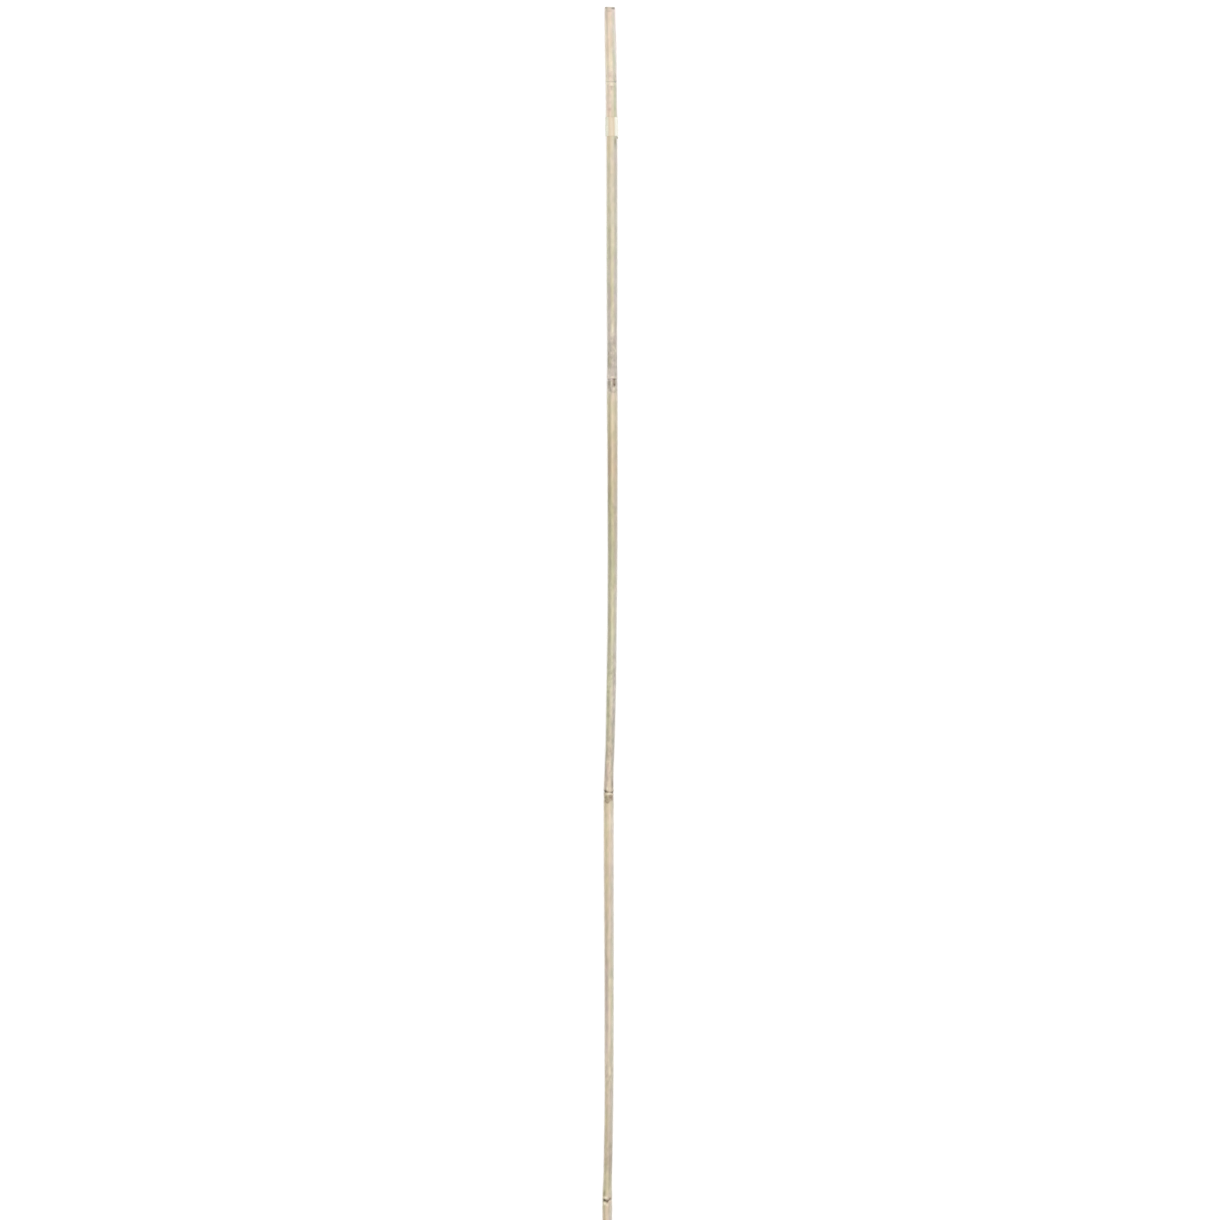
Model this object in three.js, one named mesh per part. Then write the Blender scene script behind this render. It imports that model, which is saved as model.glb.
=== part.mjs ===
// A bamboo garden cane, lying down, with a plain label film wrapped round it near its thick end.
//
// Millimetres. The cane runs along Y with its thick end at +Y, +Z is up, and its underside rests on z = 0.
// Every place along the cane is given as a distance from the thick cut end. The cane grew as one piece, so it
// is one mesh: the swollen joints, the scars on them and the hollow at each cut end all belong to one skin.

import * as THREE from "three";

// ---- Driving dimensions -------------------------------------------------------------------------------

const LENGTH = 1200;
const CANE_SIDES = 32;

// How wide the cane is, as [distance, diameter]. Each stretch is widest just past a joint and thins towards
// the next one.
const GIRTH = [
  [0, 9.85], [40, 10.4], [70, 10.2], [100, 10.0], [228, 9.85], [300, 9.35], [340, 9.0],
  [360, 9.5], [385, 9.75], [437, 9.4], [507, 9.0], [600, 8.4], [655, 8.75], [715, 8.25], [740, 8.2],
  [760, 8.8], [785, 9.15], [868, 8.8], [938, 8.45], [1019, 8.25], [1078, 7.8], [1134, 7.8],
  [1150, 8.5], [1168, 8.85], [1200, 8.7],
];

// The cane's sideways bow, as [distance, x]: nearly straight stretches that change direction at the joints.
const BOW = [
  [0, -0.1], [35, 0.6], [72, 1.1], [135, 1.8], [230, 1.95], [368, 2.15], [440, 2.45], [515, 2.5],
  [610, 1.9], [705, 0.35], [763, -1.25], [815, -1.2], [940, -0.85], [1030, -0.85], [1124, -1.9],
  [1158, -2.7], [1200, -2.6],
];

// The joints, thick end first. `scar` is the line the leaf sheath left, `belt` the length of the swollen belt
// past it, `strength` how boldly the joint stands out, `bud` the side the bud sits on, in degrees from +X
// towards +Z, `budPast` how far past the scar it sits, and `furrow` where the furrow above the bud fades out.
const JOINTS = [
  { scar: 72.7, belt: 6, strength: 0.6, bud: 80, budPast: 5, furrow: 210 },
  { scar: 360.8, belt: 13, strength: 0.9, bud: 68, budPast: 4, furrow: 260 },
  { scar: 761, belt: 10.5, strength: 1.0, bud: 105, budPast: 7.5, furrow: 240 },
  { scar: 1157.5, belt: 7, strength: 1.0, bud: 84, budPast: 4, furrow: 60 },
];

// How far the skin stands out through a joint, [place, height]. A place under 0 is millimetres before the
// scar and one over 0 is a share of the belt: the lip of the scar, the notch behind it, the pale ring, the
// old root dots and the ridge that closes the joint.
const JOINT_RELIEF = [
  [-18, 0], [-4, 0.07], [-0.8, 0.24], [0.03, -0.16], [0.1, -0.1], [0.22, 0.14], [0.4, 0], [0.7, -0.03],
  [1, 0.17], [1.3, 0.12], [2.4, 0],
];
const BUD = { long: 3.2, wide: 0.34, high: 0.42 };
const FURROW = { deep: 0.34, wide: 0.36, run: 11 };

// Where the cane touches the surface: near the thick end and on two ridges. Its middle line rises in between.
const ridgeOf = (joint) => joint.scar + joint.belt;
const TOUCHES = [40, ridgeOf(JOINTS[1]), ridgeOf(JOINTS[3])];
const RISES = [1.5, 0.35];
const END_RISE = 0.25;

// Cut ends: a slightly slanting saw cut with its edge eased, and the hollow inside up to the first partition.
const EDGE_EASE = 0.35;
const CUT_SLANT = 0.03;
const HOLLOWS = { thick: { radius: 1.9, depth: 66 }, thin: { radius: 1.5, depth: 32 } };

// The label film: a loose oval tube whose lower corner hangs lower on one side.
const FILM = {
  from: 107, to: 125.5, gap: 0.3, wall: 0.25, slack: 0.5, tail: 3.6, tailSide: -12, tailWide: 0.45, sides: 40,
};

const CANE_COLOUR = 0xd6caa6;
const FILM_COLOUR = 0xe9e0c8;

// ---- Helpers ------------------------------------------------------------------------------------------

const radians = (degrees) => (degrees * Math.PI) / 180;
const clamp01 = (t) => Math.min(1, Math.max(0, t));
const ease = (t) => clamp01(t) ** 2 * (3 - 2 * clamp01(t));
const hump = (t) => Math.exp(-t * t);
const turnBetween = (a, b) => Math.atan2(Math.sin(a - b), Math.cos(a - b));

// A smooth line through [place, value] points that doesn't overshoot, and holds its end values.
function along(points, place) {
  const last = points.length - 1;
  if (place <= points[0][0]) return points[0][1];
  if (place >= points[last][0]) return points[last][1];
  const i = points.findIndex((p) => p[0] > place) - 1;
  const rise = (k) => (points[k + 1][1] - points[k][1]) / (points[k + 1][0] - points[k][0]);
  const slope = (k) => {
    if (k === 0 || k === last) return 0;
    const before = rise(k - 1), after = rise(k);
    return before * after <= 0 ? 0 : (2 * before * after) / (before + after);
  };
  const span = points[i + 1][0] - points[i][0];
  const t = (place - points[i][0]) / span;
  const [a, b] = [points[i][1], points[i + 1][1]];
  return (
    (2 * t ** 3 - 3 * t ** 2 + 1) * a + (t ** 3 - 2 * t ** 2 + t) * span * slope(i) +
    (3 * t ** 2 - 2 * t ** 3) * b + (t ** 3 - t ** 2) * span * slope(i + 1)
  );
}

// A closed skin over rings of equal count. Loose ends meet in a point, or the last ring joins the first.
function skin(rings, joinEnds) {
  const sides = rings[0].length;
  const spots = rings.flat();
  const faces = [];
  const strips = joinEnds ? rings.length : rings.length - 1;
  for (let r = 0; r < strips; r++)
    for (let k = 0; k < sides; k++) {
      const a = r * sides + k, b = r * sides + ((k + 1) % sides);
      const next = ((r + 1) % rings.length) * sides;
      const c = next + ((k + 1) % sides), d = next + k;
      faces.push(a, b, c, a, c, d);
    }
  if (!joinEnds)
    for (const [ring, flip] of [[0, false], [rings.length - 1, true]]) {
      const middle = spots.push(centreOf(rings[ring])) - 1;
      for (let k = 0; k < sides; k++) {
        const a = ring * sides + k, b = ring * sides + ((k + 1) % sides);
        faces.push(...(flip ? [a, b, middle] : [b, a, middle]));
      }
    }
  const geometry = new THREE.BufferGeometry().setFromPoints(spots);
  geometry.setIndex(faces);
  geometry.computeVertexNormals();
  return geometry;
}

function centreOf(ring) {
  const sum = ring.reduce((all, spot) => all.add(spot), new THREE.Vector3());
  return sum.divideScalar(ring.length);
}

// ---- The cane's shape ---------------------------------------------------------------------------------

// How far one joint's lip, ridge, bud and furrow move the skin at a distance and an angle.
function jointHeight(joint, distance, angle) {
  const past = distance - joint.scar;
  const off = turnBetween(angle, radians(joint.bud));
  const relief = along(JOINT_RELIEF, past < 0 ? past : past / joint.belt);
  const bud = BUD.high * hump((past - joint.budPast) / BUD.long) * hump(off / BUD.wide);
  const fade = ease((past - joint.belt) / FURROW.run) * (1 - ease(past / joint.furrow));
  const furrow = FURROW.deep * fade * hump(off / FURROW.wide);
  return joint.strength * (relief + bud - furrow);
}

function radiusAt(distance, angle) {
  return JOINTS.reduce((r, joint) => r + jointHeight(joint, distance, angle), along(GIRTH, distance) / 2);
}

// The angles of a ring's corners, placed so that a flat, not a corner, faces straight down.
function cornerAngles(sides) {
  return Array.from({ length: sides }, (_, k) => ((k + 0.5) * 2 * Math.PI) / sides);
}

// How far the cane's lowest corner lies under its middle line.
function depthAt(distance) {
  return Math.max(...cornerAngles(CANE_SIDES).map((a) => -Math.sin(a) * radiusAt(distance, a)));
}

const touchHeights = TOUCHES.map(depthAt);

// The height of the middle line: level with the touches, and bowed up a little between them.
function heightAt(distance) {
  const part = distance < TOUCHES[1] ? 0 : 1;
  const t = (distance - TOUCHES[part]) / (TOUCHES[part + 1] - TOUCHES[part]);
  const level = touchHeights[part] + t * (touchHeights[part + 1] - touchHeights[part]);
  const beyond = t < 0 || t > 1;
  const run = t < 0 ? TOUCHES[0] - distance : distance - TOUCHES[2];
  return level + (beyond ? END_RISE * ease(run / TOUCHES[0]) : RISES[part] * Math.sin(Math.PI * t) ** 2);
}

// A point off the cane's middle line. The slant shears the rings next to a saw cut.
function spotAt(distance, angle, radius, slant = 0) {
  const [out, up] = [radius * Math.cos(angle), radius * Math.sin(angle)];
  return new THREE.Vector3(
    along(BOW, distance) + out,
    LENGTH / 2 - distance - slant * (out + radiusAt(distance, 0)),
    heightAt(distance) + up,
  );
}

function caneRing(distance, inset = 0, slant = 0) {
  return cornerAngles(CANE_SIDES).map((a) => spotAt(distance, a, radiusAt(distance, a) - inset, slant));
}

function hollowRing(distance, radius, slant = 0) {
  return cornerAngles(CANE_SIDES).map((a) => spotAt(distance, a, radius, slant));
}

// Where the rings lie: close together through each joint, wide apart on the plain stretches.
function ringPlaces() {
  const before = [-18, -10, -4, -1.8, -0.8];
  const inBelt = [0.03, 0.1, 0.22, 0.4, 0.55, 0.7, 0.85, 1, 1.15, 1.3, 1.7, 2.4];
  const nearCut = 1.5, step = 22, clearBefore = 28, clearPast = 10;
  const joint = (j) => [...before.map((u) => j.scar + u), ...inBelt.map((u) => j.scar + u * j.belt)];
  const beltEnds = Math.max(...inBelt);
  const inJoint = (d) =>
    JOINTS.some((j) => d > j.scar - clearBefore && d < j.scar + beltEnds * j.belt + clearPast);
  const places = JOINTS.flatMap(joint);
  for (let d = step / 2; d < LENGTH; d += step) if (!inJoint(d)) places.push(d);
  return [nearCut, TOUCHES[0], ...places.filter((d) => d < LENGTH - nearCut), LENGTH - nearCut]
    .sort((a, b) => a - b);
}

// The hollow from its rounded bottom out to its mouth: [depth as a share, radius as a share].
const HOLLOW_SHAPE = [[1, 0.45], [0.985, 0.85], [0.95, 1], [0.5, 1], [0, 1.08]];

function caneGeometry() {
  const { thick, thin } = HOLLOWS;
  const thickMouth = HOLLOW_SHAPE.map(([deep, wide]) =>
    hollowRing(deep * thick.depth, wide * thick.radius, deep === 0 ? CUT_SLANT : 0));
  const thinMouth = HOLLOW_SHAPE.map(([deep, wide]) =>
    hollowRing(LENGTH - deep * thin.depth, wide * thin.radius)).reverse();
  const outside = ringPlaces().map((d) => caneRing(d));
  return skin([
    ...thickMouth, caneRing(0, EDGE_EASE, CUT_SLANT), caneRing(EDGE_EASE, 0, CUT_SLANT),
    ...outside,
    caneRing(LENGTH - EDGE_EASE), caneRing(LENGTH, EDGE_EASE), ...thinMouth,
  ], false);
}

// ---- The label film -----------------------------------------------------------------------------------

// One ring of the film. It stands off more to the sides, and its lower edge sags at the tail.
function filmRing(share, layer) {
  const { from, to, gap, wall, slack, tail, tailSide, tailWide, sides } = FILM;
  return cornerAngles(sides).map((a) => {
    const sag = tail * hump(turnBetween(a, radians(tailSide)) / tailWide) * share ** 3;
    const distance = from + share * (to - from) + sag;
    const off = gap + slack * Math.cos(a) ** 2 + layer * wall;
    return spotAt(distance, a, along(GIRTH, distance) / 2 + off);
  });
}

function filmGeometry() {
  const shares = [0, 0.2, 0.45, 0.7, 0.87, 1];
  const outer = shares.map((share) => filmRing(share, 1));
  const inner = shares.map((share) => filmRing(share, 0)).reverse();
  return skin([...outer, ...inner], true);
}

// ---- Assembly -----------------------------------------------------------------------------------------

function node(name, geometry, colour, roughness) {
  const material = new THREE.MeshStandardMaterial({ color: colour, roughness, metalness: 0 });
  const mesh = new THREE.Mesh(geometry, material);
  mesh.name = name;
  return mesh;
}

const cane = new THREE.Group();
cane.name = "bamboo_cane";
cane.add(node("cane", caneGeometry(), CANE_COLOUR, 0.45));
cane.add(node("label_film", filmGeometry(), FILM_COLOUR, 0.3));

// The origin is the middle of the footprint, on the surface.
const room = new THREE.Box3().setFromObject(cane);
const middle = room.getCenter(new THREE.Vector3());
cane.position.set(-middle.x, -middle.y, -room.min.z);

export default cane;
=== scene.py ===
# %% [markdown]
# # A bamboo cane, lying down
#
# A garden cane is one stem of bamboo, cut and dried. It grew as one piece, so it is made here as one
# skin: a ring of points carried along the stem. The packed cane gives the size, the bow and the joints,
# and this lesson adds what is too fine for it: the torn line of each leaf scar, fibres, wax, stains and
# the two sawn ends.

import bpy
import numpy as np
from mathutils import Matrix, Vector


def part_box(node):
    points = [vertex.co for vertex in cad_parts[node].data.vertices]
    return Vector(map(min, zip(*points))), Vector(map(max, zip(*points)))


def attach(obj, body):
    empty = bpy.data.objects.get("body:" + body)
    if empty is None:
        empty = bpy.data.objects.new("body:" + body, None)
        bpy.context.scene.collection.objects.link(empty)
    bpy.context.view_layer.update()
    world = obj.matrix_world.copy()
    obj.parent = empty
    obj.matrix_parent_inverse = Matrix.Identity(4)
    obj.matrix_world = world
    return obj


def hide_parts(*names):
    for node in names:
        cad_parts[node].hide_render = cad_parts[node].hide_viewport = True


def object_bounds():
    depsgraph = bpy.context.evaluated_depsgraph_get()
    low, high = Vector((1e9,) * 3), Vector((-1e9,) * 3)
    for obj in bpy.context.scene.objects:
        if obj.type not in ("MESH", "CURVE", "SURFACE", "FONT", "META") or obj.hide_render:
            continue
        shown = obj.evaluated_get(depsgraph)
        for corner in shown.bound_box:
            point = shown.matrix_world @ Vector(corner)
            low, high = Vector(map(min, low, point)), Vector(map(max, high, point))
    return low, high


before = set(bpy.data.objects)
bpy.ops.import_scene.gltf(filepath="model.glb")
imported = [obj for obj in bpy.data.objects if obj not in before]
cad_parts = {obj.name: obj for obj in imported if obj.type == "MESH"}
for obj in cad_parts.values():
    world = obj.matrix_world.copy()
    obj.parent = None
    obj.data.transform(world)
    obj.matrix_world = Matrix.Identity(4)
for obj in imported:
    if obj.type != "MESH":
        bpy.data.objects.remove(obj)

cad_low, cad_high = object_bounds()
MM = 0.001
LENGTH = cad_high.y - cad_low.y
print(f"the packed cane is {LENGTH / MM:.0f} mm long and {cad_high.z / MM:.1f} mm high")

# %% [markdown]
# ## Reading the cane's own rings
#
# The packed cane is a stack of rings, each a flat loop of corners across the stem. They could be drawn
# again from sizes, but then the two shapes might drift apart, so the corners are read back and sorted
# into rings. Corners near the middle line belong to the hollows at the cut ends and are kept apart.

# %% Rings of the packed cane
RING_GAP = 0.1 * MM
CUT_MARGIN = 1.2 * MM
SKIN_REACH = 2.8 * MM


def corners_of(name):
    """Every different corner of a packed node, one row of x, y, z each, in metres."""
    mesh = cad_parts[name].data
    flat = np.empty(3 * len(mesh.vertices), np.float32)
    mesh.vertices.foreach_get("co", flat)
    return np.unique(np.round(flat.reshape(-1, 3).astype(float), 6), axis=0)


def sort_into_rings(corners):
    """Splits corners wherever Y jumps: ring = jumps before it, off = corner - middle of its ring's box."""
    corners = corners[np.argsort(-corners[:, 1], kind="stable")]
    ring = np.r_[0, np.cumsum(-np.diff(corners[:, 1]) > RING_GAP)]
    first = np.searchsorted(ring, np.arange(ring[-1] + 1))
    across = corners[:, [0, 2]]
    middle = (np.minimum.reduceat(across, first) + np.maximum.reduceat(across, first)) / 2
    return corners, ring, across - middle[ring]


corners = corners_of("cane")
corners, ring, off = sort_into_rings(corners[np.abs(corners[:, 1]) < cad_high.y - CUT_MARGIN])
on_skin = np.hypot(off[:, 0], off[:, 1]) > SKIN_REACH
SIDES = int(np.bincount(np.bincount(ring[on_skin])[1:]).argmax())
whole = on_skin & (np.bincount(ring[on_skin], minlength=ring[-1] + 1) == SIDES)[ring]
turn = np.arctan2(off[:, 1], off[:, 0]) % (2 * np.pi)
in_order = np.flatnonzero(whole)[np.lexsort((turn[whole], ring[whole]))]
cad_rings = corners[in_order].reshape(-1, SIDES, 3)
cad_places = cad_high.y - cad_rings[:, 0, 1]
cad_loops = cad_rings[:, :, 0] + 1j * cad_rings[:, :, 2]
hollow = corners[~on_skin]
hollow_depth = np.array([cad_high.y - hollow[hollow[:, 1] > 0, 1].min(),
                         hollow[hollow[:, 1] < 0, 1].max() - cad_low.y])
print(f"{len(cad_rings)} rings of {SIDES} corners, hollows {np.round(hollow_depth / MM, 1)} mm deep")

# %% [markdown]
# ## The four joints
#
# A leaf sheath once wrapped the stem at each joint. It fell and left a dark torn line, the scar. Just
# past it the stem swells into a short belt with old root dots, then a bud or the stub of a branch. The
# scars are found in the packed cane, where the skin drops most steeply; the rest says how each joint
# looks. Angles go round in degrees from the right side of the cane over its top. A torn line is a list of
# (side, how far it hangs, how dark).

# %% Joints
# belt: its length past the scar, mm; bud: its side, and bud_past its distance past the scar, mm
# mottle and pale: how strong the brown and the ring of young skin are; wax: length of the bloom, mm
girth = np.abs(cad_loops - cad_loops.mean(1, keepdims=True)).mean(1)
drop = np.diff(girth) / np.diff(cad_places)
JOINT_LOOKS = [
    dict(belt=6, bud=80, bud_past=5.0, mottle=0.08, pale=0.3, wax=14,
         torn=[(0, 0.2, 0.5), (32, 0.1, 0.75), (60, 0.0, 0.3), (109, -0.1, 0.28), (180, 0.2, 0.4),
               (270, 0.1, 0.6)]),
    dict(belt=13, bud=68, bud_past=4.0, mottle=0.4, pale=0.15, wax=42,
         torn=[(0, 0.2, 0.5), (64, 0.4, 0.6), (97, -0.3, 0.2), (126, 0.5, 0.55), (180, 0.3, 0.5),
               (270, 0.2, 0.7)]),
    dict(belt=10.5, bud=105, bud_past=7.5, mottle=0.5, pale=0.8, wax=24,
         torn=[(0, 0.5, 0.7), (45, 0.7, 0.85), (80, 0.5, 0.35), (101, 0.4, 0.6), (135, -0.1, 1.0),
               (166, -0.3, 1.0), (270, 0.0, 0.8)]),
    dict(belt=7, bud=84, bud_past=4.0, mottle=0.1, pale=0.3, wax=12,
         torn=[(0, -0.6, 0.2), (54, -1.0, 0.55), (70, -0.5, 0.75), (90, 1.0, 1.0), (116, -0.1, 1.0),
               (155, -0.5, 0.9), (270, 0.1, 0.8)]),
]
steepest = np.sort(np.argsort(drop)[: len(JOINT_LOOKS)])
scars = (cad_places[steepest] + cad_places[steepest + 1]) / 2
for joint, scar in zip(JOINT_LOOKS, scars):
    joint["scar"] = scar / MM
print("scars at", [round(j["scar"], 1) for j in JOINT_LOOKS], "mm from the thick end")

# %% [markdown]
# ## Carrying a ring along the stem
#
# Two ways of filling in are needed. Round the stem, a packed ring is read as a sum of waves, which gives
# a smooth loop through all its corners. Along the stem, a cubic that never overshoots joins one ring to
# the next, so the straight stretches stay straight and the scars stay sharp.

# %% Round the stem
AROUND = 96


def once_round(steps):
    """Angles in radians of even steps round the stem, starting underneath: -pi/2 + 2 pi i / steps."""
    return -np.pi / 2 + 2 * np.pi * np.arange(steps) / steps


def loop_through(loops, angles):
    """Loops of n corners read at any angle: sum over m of F(m) exp(i m (angle - first corner)) / n."""
    n = loops.shape[1]
    waves = np.fft.fftfreq(n, 1 / n)
    turns = angles - np.pi / n
    return np.fft.fft(loops, axis=1) @ np.exp(1j * waves[:, None] * turns) / n


angle = once_round(AROUND)
fine_loops = loop_through(cad_loops, angle)
print("each packed ring read at", fine_loops.shape[1], "angles")


# %% Along the stem
def between(places, rows, wanted):
    """Rows read at wanted places: (2t^3-3t^2+1) a + (t^3-2t^2+t) h p + (3t^2-2t^3) b + (t^3-t^2) h q.

    a and b are the rows on either side, h apart; p and q are their slopes, the harmonic mean of the rises
    before and after, or 0 where the rises differ in sign.
    """
    h = np.diff(places)[:, None]
    rise = np.diff(rows, axis=0) / h
    before, after = rise[:-1], rise[1:]
    slope = np.zeros_like(rows)
    same = before * after > 0
    slope[1:-1][same] = (2 * before * after)[same] / (before + after)[same]
    wanted = np.clip(wanted, places[0], places[-1])
    at = np.clip(np.searchsorted(places, wanted, side="right") - 1, 0, len(places) - 2)
    t = (wanted - places[at]) / h[at, 0]
    a, b = np.take_along_axis(rows, at, 0), np.take_along_axis(rows, at + 1, 0)
    p, q = np.take_along_axis(slope, at, 0), np.take_along_axis(slope, at + 1, 0)
    return ((2 * t**3 - 3 * t**2 + 1) * a + (t**3 - 2 * t**2 + t) * h[at, 0] * p
            + (3 * t**2 - 2 * t**3) * b + (t**3 - t**2) * h[at, 0] * q)


half_way = between(cad_places, girth[:, None], np.full((1, 1), LENGTH / 2))
print(f"mean radius half way along: {half_way.item() / MM:.2f} mm")

# %% [markdown]
# ## Where the fine rings go
#
# The profile of the whole skin is one path: from the bottom of the hollow in the thick end, out to its
# mouth, across the sawn face, over the eased edge, along the stem and in again at the thin end. A place
# on it is a distance along the stem and a share of the stem's radius. Rings crowd together at the scars
# and spread out on the plain stretches.

# %% The path of the profile
AWAY_FROM_BELT = (1.5, 6, 22, 40)
STEP_THERE = (0.24, 0.7, 1.12, 2.6)
PLAIN_FROM, STRIDE = 0.9, 0.02
# pairs: distance from the cut in mm, share of the radius
EDGE = [(0.0, 0.955), (0.05, 0.978), (0.2, 0.994), (0.5, 1.0)]
# shares of the radius across the sawn face
FACE = [0.41, 0.46, 0.54, 0.62, 0.7, 0.78, 0.85, 0.91]
# pairs: share of the hollow's depth, share of the radius
HOLLOW = [(1.0, 0.0), (1.0, 0.16), (0.985, 0.27), (0.955, 0.345), (0.85, 0.37), (0.5, 0.375), (0.2, 0.38),
          (0.05, 0.385), (0.004, 0.39), (0.0, 0.398)]


def places_along():
    """Distances in mm of the stem's rings: count = sum of STRIDE / step, read at steps of one.

    The step is read from STEP_THERE by how far the place is from a belt, or by twice its distance
    from a cut and 2 mm more, whichever is less.
    """
    grid = np.arange(PLAIN_FROM, LENGTH / MM - PLAIN_FROM, STRIDE)
    past = np.min([np.where(grid < j["scar"], j["scar"] - grid, np.maximum(grid - j["scar"] - j["belt"], 0))
                   for j in JOINT_LOOKS], axis=0)
    from_cut = np.minimum(grid, LENGTH / MM - grid)
    away = np.minimum(past, 2 * from_cut + 2)
    count = np.cumsum(STRIDE / np.interp(away, AWAY_FROM_BELT, STEP_THERE))
    return np.interp(np.arange(count[0], count[-1]), count, grid)


def profile_path():
    """(distance in mm, share of the radius) for every ring from one hollow's bottom to the other's."""
    ends = []
    for depth in hollow_depth:
        ends.append([(d * depth / MM, s) for d, s in HOLLOW] + [(0.0, s) for s in FACE] + EDGE)
    thin = [(LENGTH / MM - d, s) for d, s in reversed(ends[1])]
    return np.array(ends[0] + [(d, 1.0) for d in places_along()] + thin)


path = profile_path()
distance, share = path[:, :1], path[:, 1:]
ENDS = len(HOLLOW) + len(FACE) + len(EDGE)
print(f"{len(path)} rings of {AROUND} points, {2 * len(path) * AROUND} triangles")

# %% [markdown]
# ## Clouds of chance
#
# Growth is uneven, but slowly so. A cloud is a grid of chance values stretched over the skin and eased
# between, joined to itself round the stem. Long thin cells make streaks and short ones make blotches.


# %% Clouds
def ease(t):
    """0 below 0, 1 above 1, 3t^2 - 2t^3 between."""
    t = np.clip(t, 0, 1)
    return t * t * (3 - 2 * t)


def hump(t):
    """exp(-t^2), a soft bump one unit wide."""
    return np.exp(-t * t)


def turn_from(degrees, angles=angle):
    """How far each angle of a ring is from a side, in radians, -pi to pi."""
    return (angles - np.radians(degrees) + np.pi) % (2 * np.pi) - np.pi


def cloud(mm_along, cells_round, seed):
    """Chance values on a grid, eased between: -1 to 1 for every ring and angle."""
    chance = np.random.default_rng(seed)
    rows = int(LENGTH / MM / mm_along) + 3
    grid = chance.uniform(-1, 1, (rows, cells_round))
    r, c = np.clip(distance / mm_along, 0, rows - 2), (angle / (2 * np.pi) % 1) * cells_round
    r0, c0 = np.floor(r).astype(int), np.floor(c).astype(int)[None, :]
    fr, fc = ease(r - r0), ease(c - c0)
    c1 = (c0 + 1) % cells_round
    near = grid[r0, c0] * (1 - fc) + grid[r0, c1] * fc
    far = grid[r0 + 1, c0] * (1 - fc) + grid[r0 + 1, c1] * fc
    return near * (1 - fr) + far * fr


slow, patchy, blotchy = cloud(38, 5, 11), cloud(9, 9, 12), cloud(1.3, 26, 13)
ragged, warmth, dappled = cloud(0.9, 40, 14), cloud(6, 8, 15), cloud(3.2, 14, 16)
straw, flecked, smudged = cloud(7, 6, 17), cloud(2.3, 17, 18), cloud(5.5, 9, 19)
print("clouds span", round(float(slow.min()), 2), "to", round(float(slow.max()), 2))

# %% [markdown]
# ## The skin of the cane
#
# Each scar is a torn edge, so its line wanders by a few tenths of a millimetre and sags towards the bud.
# The belt past it reaches furthest at the bud. Two measures say this for every ring and angle: how far a
# point lies past the torn line, and how much of a belt it is on. Shape and colour both use them.

# %% Torn lines and belts
TORN_WAVES = [(7, 0.06, 1), (13, 0.05, 2)]
WANDER_REACH = 9
BELT_RISE, BELT_FALL, BELT_LEAST, BELT_AT_BUD = 1.2, 1.6, 0.72, 0.36


def torn_line(joint, what):
    """Column 1 (hang in mm) or 2 (darkness) of a joint's torn line, joined up round the ring."""
    sides = np.array(joint["torn"], float)
    return np.interp(np.degrees(angle), sides[:, 0], sides[:, what], period=360)


def wander(joint):
    """How far past its place, in mm, the scar lies at each angle: the torn line and two small waves."""
    waves = sum(much * np.cos(n * angle + start * joint["scar"]) for n, much, start in TORN_WAVES)
    return torn_line(joint, 1) + waves


def past_scar(joint):
    """Distance past the joint's torn line, in mm, for every ring and angle."""
    u = distance - joint["scar"]
    return u - wander(joint) * hump(u / WANDER_REACH)


def belt_of(joint):
    """1 on the joint's belt, fading at the scar and at the ridge, which reaches furthest at the bud."""
    u = past_scar(joint)
    reach = joint["belt"] * (BELT_LEAST + BELT_AT_BUD * hump(turn_from(joint["bud"]) / 0.8))
    return ease((u - BELT_RISE) / BELT_RISE) * (1 - ease((u - reach) / BELT_FALL + 0.5))


on_belts = sum(float((belt_of(joint) > 0.5).mean()) for joint in JOINT_LOOKS)
print("share of the rings' points that are on a belt:", round(on_belts, 3))

# %% [markdown]
# The packed rings are read a little earlier or later at each angle, which bends the scars into their torn
# lines. Then fine heights are added: flat fibres that run the length, slow dents, root dots on the belts
# and the broken lips of the branch stubs. They could be bump in the finish instead, but real heights show
# in the outline too. A fibre wave is (how many go round, height in mm, where it starts). The other heights
# and lengths are in mm too, and BUD_WIDE is in radians.

# %% Shape of the skin
FIBRES = [(23, 0.010, 0.4), (37, 0.008, 1.9), (47, 0.006, 2.7)]
DENTS, DIMPLES, SWAY = 0.035, 0.012, 0.6
ROOT_DOTS, ROUGH_BELT, TORN_LIP = 0.05, 0.03, 0.05
BUD_LONG, BUD_WIDE, BUD_RIM, BUD_DIP = 2.6, 0.24, 0.14, 0.22

shifted = distance + np.zeros(AROUND)
for joint in JOINT_LOOKS:
    shifted = shifted - wander(joint) * hump((distance - joint["scar"]) / WANDER_REACH)
x = between(cad_places, fine_loops.real, shifted * MM)
z = between(cad_places, fine_loops.imag, shifted * MM)
centre_x, centre_z = x.mean(1, keepdims=True), z.mean(1, keepdims=True)
radius = np.hypot(x - centre_x, z - centre_z)

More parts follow.
